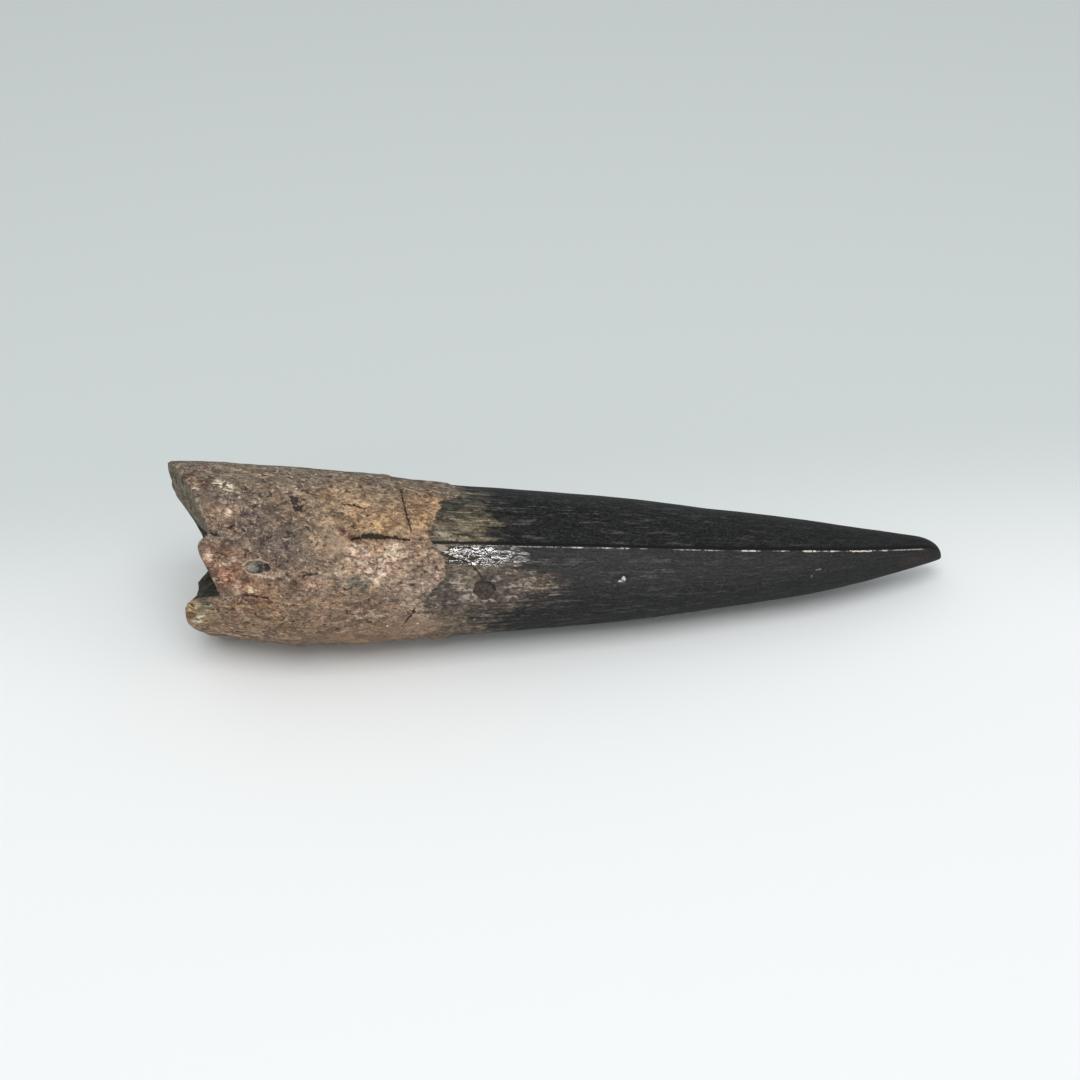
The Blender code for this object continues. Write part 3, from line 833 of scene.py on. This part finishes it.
def root_skin(tree, grain):
    """Colour, height in millimetres and roughness of the root's weathered skin."""
    patches = grain.noise(4.5, 3, 0.55, along=0.6)
    blotches = grain.noise(1.8, 4, 0.6, 0.3, along=0.65)
    flakes = grain.noise(0.85, 4, 0.65, along=0.7)
    grit = grain.noise(0.38, 4, 0.75, along=0.55)
    sand = grain.noise(0.2, 2, 0.6, along=0.7)
    flecks = grain.noise(0.6, 3, 0.6, 0.5, along=0.6)
    pits = grain.noise(0.75, 3, 0.6, 0.5, along=0.7)
    curls = grain.noise(1.4, 3, 0.5, 0.6, along=0.6)
    calm = stored(tree, "calm").step(0.2, 0.8, 1.0, 0.5)
    colour = stored(tree, "tone", "Color")
    colour = colour.blend(patches.step(0.50, 0.38) * 0.4, (98, 88, 78))
    colour = colour.blend(patches.step(0.54, 0.66) * 0.3, (166, 130, 98))
    colour = colour.blend(blotches.step(0.46, 0.38) * 0.3, (98, 82, 80))

    # Coloured marks with torn edges, and the grey stone in the oval pit
    warp = (flakes - 0.5) * 3.0 + (blotches - 0.5) * 3.0
    lively = (blotches * 0.4 + flakes * 0.6).step(0.42, 0.58)
    for name, (strength, low, high) in MARK_COLOURS.items():
        mark = lively.between(low, high)
        colour = colour.blend((stored(tree, name) + warp).step(0.4, -0.4) * strength, mark)
    inside = (stored(tree, "inclusion") + (flakes - 0.5) * 0.6).step(0.1, 0.0)
    stone = flakes.step(0.42, 0.56).between((56, 58, 53), (120, 120, 108))
    colour = colour.blend(inside * 0.9, stone)

    # Light and dark grain
    contrast = blotches.step(0.36, 0.64, 0.80, 1.23) * flakes.step(0.36, 0.64, 0.76, 1.28)
    contrast = contrast * grit.step(0.36, 0.64, 0.56, 1.46) * sand.step(0.36, 0.64, 0.76, 1.24)
    colour = colour.dim((contrast - 1.0) * calm + 1.035)

    # Pale flecks, more and rosier in the pink marks, and cream marks
    rosy = (stored(tree, "pink") + warp * 0.5).step(0.4, -0.6)
    amount = rosy * 0.07 + (patches - 0.5) * -0.15
    light = rosy.between((208, 187, 156), (246, 224, 200))
    flecked = (flecks + amount).step(0.57, 0.66) * calm * inside.flip()
    colour = colour.blend(flecked * 0.68, light.dim(grit.step(0.38, 0.62, 0.6, 1.12)))
    cream = (stored(tree, "cream") + warp * 0.3).step(0.2, -0.15)
    cream = cream * (flakes * 0.5 + grit * 0.5).step(0.44, 0.52)
    colour = colour.blend(cream * 0.88, (246, 232, 204))
    colour = colour.dim((grit.step(0.4, 0.6, 0.72, 1.12) - 1.0) * cream + 1.0)

    # Curled edges of scales, each with a painted highlight and a painted shadow in the gap behind it, and
    # fissures
    patchy = grain.noise(2.2, 2).step(0.44, 0.58)
    curled = (stored(tree, "scaly").step(0.05, 0.6) * 0.7 + 0.3) * patchy * calm
    ridge = (curls - 0.5).away().step(0.020, 0.006)
    gap = (curls - 0.527).away().step(0.020, 0.004)
    colour = colour.blend(ridge * curled * 0.6, (204, 184, 158))
    colour = colour.blend(gap * curled * 0.75, (52, 43, 38))
    fissures = (grain.noise(1.5, 3, 0.6, along=0.2) - 0.5).away().step(0.016, 0.004)
    colour = colour.blend(fissures * patches.step(0.42, 0.56) * calm * 0.6, (74, 58, 47))

    # Pale lines, pits, dark marks, white specks, and beads by the crown
    rim = line_edge(tree, "pale", (flakes - 0.5) * 0.5)
    colour = colour.blend(rim.step(0.08, -0.05) * 0.65, (206, 184, 162))
    colour = colour.blend(pits.step(0.39, 0.34) * calm * 0.8, (48, 38, 34))
    # Dark marks: dark spots, and painted shade in pits and holes and beside the grey stone
    dark = (stored(tree, "dark") + (flakes - 0.5) * 1.4).step(0.14, -0.04)
    colour = colour.blend(dark * 0.88, (48, 38, 44))
    distance, shade = grain.cells(1.3)
    specks = distance.step(0.16, 0.11) * shade.maths("GREATER_THAN", 0.75)
    colour = colour.blend(specks * 0.7, (236, 220, 198))
    # Painted light and shade on the beads: lighter in their middles, darker between them
    lumpy = stored(tree, "lumpy").step(0.1, 0.7)
    bead, _ = grain.cells(0.8)
    colour = colour.dim((bead.step(0.1, 0.6, 1.2, 0.72) - 1.0) * lumpy + 1.0)

    height = blotches * 0.5 + flakes.step(0.46, 0.52) * 0.05 + flakes * 0.25 + grit * 0.14
    height = height + flecked * 0.05 - pits.step(0.41, 0.35) * 0.08
    height = height * calm + (ridge - gap) * curled * 0.04 - bead * lumpy * 0.25
    rough = blotches.step(0.40, 0.60, 0.78, 0.58)
    return colour, height, rough


def crown_skin(tree, grain):
    """Colour, height in millimetres and roughness of the crown's enamel."""
    streaks = grain.noise(0.8, 4, 0.65, along=0.12)
    threads = grain.noise(0.24, 3, 0.7, along=0.12)
    strokes = grain.noise(0.28, 3, 0.65, along=0.1)
    dashes = grain.noise(0.45, 3, 0.65, along=0.2)
    flakes = grain.noise(0.8, 4, 0.65, along=0.5)
    grit = grain.noise(0.42, 4, 0.7, along=0.6)
    sand = grain.noise(0.22, 3, 0.7, along=0.5)
    patches = grain.noise(3.0, 3, 0.55, along=0.4)
    hairs = grain.noise(0.7, 1, 0.5, along=0.05)
    keel = stored(tree, "keel_side")
    over = keel.step(0.0, 1.0)
    under = over.flip()
    root_side = stored(tree, "root_side")

    # The glossy strip just under the front keel, which breaks up away from the root
    strip = (keel + (flakes - 0.5) * 2.4).step(-2.8, -2.5) * keel.step(0.15, -0.1)
    by_keel = strip * root_side.step(-36.0, -18.0)
    near_root = root_side.step(-22.0, -2.0)
    gloss = strip * (near_root + (dashes - 0.5) * 1.8).step(0.50, 0.76)

    # Near-black enamel with fine grey streaks, fainter towards the tip
    fresh = root_side.step(-62.0, -10.0)
    colour = threads.step(0.36, 0.64).between((5, 5, 5), (33, 33, 34))
    colour = colour.blend(sand.step(0.50, 0.64) * 0.15, (90, 91, 90))
    streaky = streaks.step(0.52, 0.60) * dashes.step(0.46, 0.56)
    colour = colour.blend(streaky * (fresh * 0.46 + 0.12), (88, 87, 84))

    # The brown stain of its base: lined over the keel, chipped under it
    spread = over * -12.0 + 24.0
    side = stored(tree, "stain_side") + (streaks - 0.5) * spread
    side = side + (patches - 0.5) * 8.0 + (flakes - 0.5) * 9.0
    stained = side.step(-2.0, 3.0)
    lined = strokes.step(0.42, 0.58, 0.7, 1.25) * flakes.step(0.42, 0.58, 0.68, 1.28)
    chipped = flakes.step(0.44, 0.55, 0.72, 1.22) * grit.step(0.38, 0.62, 0.56, 1.44)
    ground = stored(tree, "stain", "Color").dim(lined * over + chipped * under)
    ground = ground.blend(streaks.step(0.46, 0.38) * (over * 0.5 + 0.25), (38, 35, 32))
    bright = (hairs - 0.5).away().step(0.02, 0.006) * flakes.step(0.44, 0.54) * over
    ground = ground.blend(bright * 0.5, (176, 164, 134))
    pale = flakes.step(0.57, 0.62) * dashes.step(0.46, 0.54) * under
    ground = ground.blend(pale * 0.5, (172, 160, 144))
    colour = colour.blend(stained, ground).dim(sand.step(0.36, 0.64, 0.60, 1.42))
    colour = colour.blend(gloss * 0.8, (56, 49, 43))

    # Small light chips in the stain, and the large chip: dark, then its floor, leaving a painted shadow
    # along its upper right edges
    flint = grain.noise(0.55, 3, 0.6)
    light_chip = (stored(tree, "light_chip") + (flint - 0.5) * 1.3).step(0.08, -0.06)
    colour = colour.blend(light_chip * stained * 0.66, (182, 168, 152))
    frayed = (flint - 0.5) * 0.7
    chip = stored(tree, "chip_side") + frayed
    colour = colour.blend(chip.step(0.06, -0.04), (32, 26, 24))
    floor = (stored(tree, "chip_floor") + frayed).higher(chip)
    floor_colour = flint.step(0.40, 0.60).between((48, 38, 32), (80, 65, 55))
    colour = colour.blend(floor.step(0.02, -0.08), floor_colour)

    # A painted shadow line just over the front keel's worn crest, the crest itself, the nicks and the
    # reddish tip
    broken = grain.noise(0.5, 3, 0.65, along=0.8)
    worn = stored(tree, "worn")
    wear = worn.maths("POWER", 0.5) * broken.step(0.42, 0.52)
    colour = colour.blend((keel - 0.3).away().step(0.35, 0.12) * 0.9, (6, 6, 6))
    crest = (keel + 0.06).away() + worn * -0.07
    colour = colour.blend(crest.step(0.07, 0.0) * wear, (236, 226, 214))
    nick = stored(tree, "nick") + (flakes - 0.5) * 0.5
    colour = colour.blend(nick.step(0.06, -0.06) * 0.9, (214, 212, 206))
    colour = colour.blend(stored(tree, "red_tip").step(0.4, -1.6) * 0.4, (86, 56, 50))

    wrinkles = grain.noise(0.6, 2, 0.5, 0.8, along=0.32)
    height = streaks * 0.05 + threads * 0.05 + strokes * stained * 0.05
    height = height + flakes.step(0.42, 0.56) * stained * 0.05
    height = height * by_keel.flip() + wrinkles * by_keel * 0.16 + chip.step(0.1, -0.1) * -0.08
    rough = gloss * (near_root.step(0.3, 0.95) * -0.26 - 0.30) + 0.66
    return colour, height, rough


def broken_stone(tree, grain):
    """Colour and height of the broken wall and the hollow, with painted shade in the hollow and the darker
    parts of the wall.
    """
    coarse = grain.noise(1.6, 4, 0.6, 0.5)
    fine = grain.noise(0.5, 3, 0.6)
    colour = coarse.step(0.34, 0.66).between((88, 81, 69), (134, 124, 106))
    yellowish = coarse.step(0.40, 0.60).between((78, 64, 47), (132, 110, 80))
    colour = colour.blend(stored(tree, "lobe"), yellowish)
    colour = colour.dim(fine.step(0.35, 0.65, 0.6, 1.4))
    # Painted shade: near-black over the hollow and the darker parts of the broken wall
    cloudy = (coarse - 0.5) * 2.6 + (fine - 0.5)
    shade = (stored(tree, "dark_wall") + cloudy).step(0.05, 0.80)
    shade = stored(tree, "hollow").higher(shade)
    dark = fine.step(0.4, 0.6).between((22, 23, 22), (52, 54, 50))
    colour = colour.blend(shade * 0.92, dark)
    return colour, coarse * 0.5 + fine * 0.15


def tooth_material():
    """Weathered root, enamel crown and broken stone in one material, with the cracks over all three."""
    made, tree, shader = new_material("fossil", SPECULAR)
    grain = stored(tree, "grain", "Vector")
    root_colour, root_height, root_rough = root_skin(tree, grain)
    crown_colour, crown_height, crown_rough = crown_skin(tree, grain)
    wall_colour, wall_height = broken_stone(tree, grain)
    ragged = grain.noise(0.9, 3, 0.6, along=0.35)
    crumbled = grain.noise(0.45, 3, 0.6)
    edge = stored(tree, "soft_side") + (ragged - 0.5) * 2.0
    root = edge.step(-0.25, 0.25)
    wall = stored(tree, "wall").step(0.2, 0.8)
    colour = crown_colour.blend(root, root_colour).blend(wall, wall_colour)
    crack = line_edge(tree, "crack", (crumbled - 0.5) * 0.6)
    colour = colour.blend(crack.step(0.05, -0.05) * 0.92, (36, 27, 25))
    height = crown_height * root.flip() + root_height * root
    height = height * wall.flip() + wall_height * wall
    height = height + crack.step(0.08, -0.05) * -0.15
    rough = crown_rough * root.flip() + root_rough * root
    rough = rough * wall.flip() + wall * WALL_ROUGHNESS
    bump = node(tree, "Bump", {"Strength": 1.0, "Distance": MM, "Height": height})
    tree.links.new(colour.socket, shader.inputs["Base Color"])
    tree.links.new(rough.socket, shader.inputs["Roughness"])
    tree.links.new(bump.outputs["Normal"], shader.inputs["Normal"])
    return made


def add_tooth():
    """The one piece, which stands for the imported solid."""
    tooth = new_object("fossil_tooth", tooth_mesh())
    tooth.data.materials.append(tooth_material())
    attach(tooth, "root")
    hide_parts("tooth")


# Studio, in metres and degrees, but for the camera's place in millimetres
FLOOR_SIZE = 6.0
FLOOR_FAR = (212, 217, 216)
FLOOR_NEAR = (246, 247, 246)
FLOOR_FADE = (0.045, -0.02)  # towards +Y, where the far and the near colour are whole
FLOOR_ROUGHNESS = 0.9
FLOOR_SPECULAR = 0.1
CAMERA_AIM = Vector((-3.6, 3.43, 8.79)) * MM
CAMERA_AZIMUTH = -6.55
CAMERA_ELEVATION = 35.0
CAMERA_DISTANCE = 280.0
CAMERA_ANGLE = 32.0
CAMERA_NEAREST = 0.01
SKY_COLOUR = (0.95, 0.98, 1.0, 1.0)
SKY_STRENGTH = 0.66


def direction(azimuth, elevation):
    """Unit vector from the tooth towards a lamp or camera. Azimuth 0 is -Y, and it turns towards +X."""
    turned, raised = math.radians(azimuth), math.radians(elevation)
    level = math.cos(raised)
    return Vector((math.sin(turned) * level, -math.cos(turned) * level, math.sin(raised)))


def add_floor():
    """A pale paper floor, darker behind the tooth: a painted falloff of the light."""
    mesh = bpy.data.meshes.new("floor")
    half = FLOOR_SIZE / 2
    corners = [(-half, -half, 0), (half, -half, 0), (half, half, 0), (-half, half, 0)]
    mesh.from_pydata(corners, [], [(0, 1, 2, 3)])
    floor = new_object("floor", mesh)
    made, tree, shader = new_material("pale_paper", FLOOR_SPECULAR)
    place = Field(node(tree, "TexCoord", {}).outputs["Object"])
    behind = Field(node(tree, "SeparateXYZ", {0: place}).outputs["Y"])
    tint = behind.step(*FLOOR_FADE).between(FLOOR_FAR, FLOOR_NEAR)
    tree.links.new(tint.socket, shader.inputs["Base Color"])
    shader.inputs["Roughness"].default_value = FLOOR_ROUGHNESS
    mesh.materials.append(made)


def add_light(name, azimuth, elevation, distance, size, power, glossy=True, diffuse=True):
    """A rectangular lamp that looks at the tooth."""
    lamp = bpy.data.lights.new(name, "AREA")
    lamp.shape = "RECTANGLE"
    lamp.size, lamp.size_y = size
    lamp.energy = power
    holder = new_object(name, lamp)
    back = direction(azimuth, elevation)
    holder.location = CAMERA_AIM + back * distance
    holder.rotation_euler = back.to_track_quat("Z", "Y").to_euler()
    holder.visible_glossy = glossy
    holder.visible_diffuse = diffuse


def add_camera():
    lens = bpy.data.cameras.new("camera")
    lens.angle = math.radians(CAMERA_ANGLE)
    lens.clip_start = CAMERA_NEAREST
    camera = new_object("camera", lens)
    back = direction(CAMERA_AZIMUTH, CAMERA_ELEVATION)
    camera.location = CAMERA_AIM + back * CAMERA_DISTANCE * MM
    camera.rotation_euler = back.to_track_quat("Z", "Y").to_euler()
    bpy.context.scene.camera = camera


def add_world():
    world = bpy.data.worlds.new("studio")
    world.use_nodes = True
    background = world.node_tree.nodes["Background"]
    background.inputs["Color"].default_value = SKY_COLOUR
    background.inputs["Strength"].default_value = SKY_STRENGTH
    bpy.context.scene.world = world


add_tooth()
add_floor()
add_light("overhead", azimuth=0, elevation=68, distance=0.6, size=(0.45, 0.45), power=1.6, glossy=False)
add_light("glint", azimuth=13, elevation=13, distance=0.4, size=(0.13, 0.07), power=2.3, diffuse=False)
add_camera()
add_world()
bpy.context.scene.view_settings.view_transform = "Standard"
